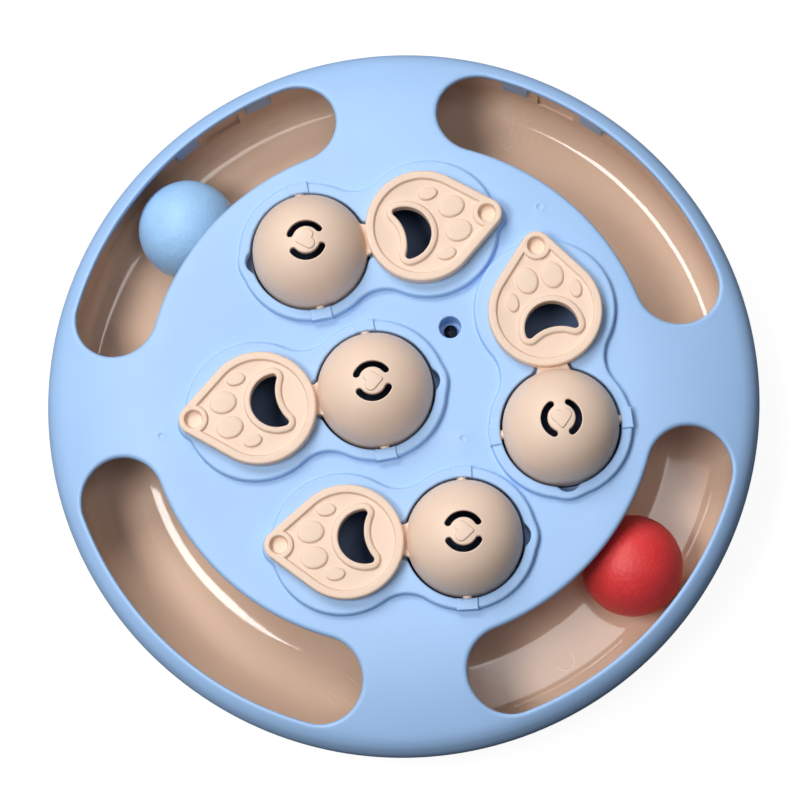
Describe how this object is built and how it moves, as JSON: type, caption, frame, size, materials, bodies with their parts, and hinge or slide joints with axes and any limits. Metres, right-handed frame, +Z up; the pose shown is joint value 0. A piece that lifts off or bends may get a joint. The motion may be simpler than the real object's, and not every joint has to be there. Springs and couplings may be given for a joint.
{
  "type": "treat puzzle",
  "caption": "Round pet treat puzzle: a cover with flip-up paw lids on turning domes over treat wells, and balls that run in a ring track under curved windows.",
  "frame": {"origin": "centre of the disc, on the table under the feet", "axes": "+Z up; +Y towards the back, away from the viewer; +X to the right"},
  "size_m": [0.26, 0.26, 0.0698],
  "materials": {
    "cover_blue": "satin",
    "cup_blue": "satin",
    "lid_beige": "satin",
    "tray_beige": "gloss",
    "ball_blue": "matte",
    "ball_red": "matte",
    "screw_steel": "satin",
    "foot_rubber": "matte"
  },
  "bodies": {
    "housing": {"top_cover": "cover_blue", "base_tray": "tray_beige", "cup_back": "cup_blue", "cup_middle": "cup_blue", "cup_front": "cup_blue", "cup_right": "cup_blue", "cover_screw": "screw_steel", "foot_1": "foot_rubber", "foot_2": "foot_rubber", "foot_3": "foot_rubber", "foot_4": "foot_rubber"},
    "lid_back": {"lid_back": "lid_beige"},
    "lid_middle": {"lid_middle": "lid_beige"},
    "lid_front": {"lid_front": "lid_beige"},
    "lid_right": {"lid_right": "lid_beige"},
    "ball_blue": {"ball_blue": "ball_blue"},
    "ball_red": {"ball_red": "ball_red"}
  },
  "joints": [
    {"name": "lid_back_flip", "type": "hinge", "parent": "housing", "child": "lid_back", "pos_m": [-0.0299, 0.0519, 0.0485], "axis": [0.1392, -0.9903, 0], "range_deg": [0, 100]},
    {"name": "lid_middle_flip", "type": "hinge", "parent": "housing", "child": "lid_middle", "pos_m": [-0.0088, -0.0003, 0.0485], "axis": [-0.1201, 0.9928, 0], "range_deg": [0, 100]},
    {"name": "lid_front_flip", "type": "hinge", "parent": "housing", "child": "lid_front", "pos_m": [0.0202, -0.0553, 0.0485], "axis": [0.007, 1, 0], "range_deg": [0, 100]},
    {"name": "lid_right_flip", "type": "hinge", "parent": "housing", "child": "lid_right", "pos_m": [0.0566, -0.0174, 0.0485], "axis": [0.9973, 0.0732, 0], "range_deg": [0, 100]},
    {"name": "ball_blue_round_track", "type": "hinge", "parent": "housing", "child": "ball_blue", "pos_m": [0, 0, 0.023], "axis": [0, 0, 1], "range_deg": [-155, 155]},
    {"name": "ball_red_round_track", "type": "hinge", "parent": "housing", "child": "ball_red", "pos_m": [0, 0, 0.023], "axis": [0, 0, 1], "range_deg": [-155, 155]}
  ]
}
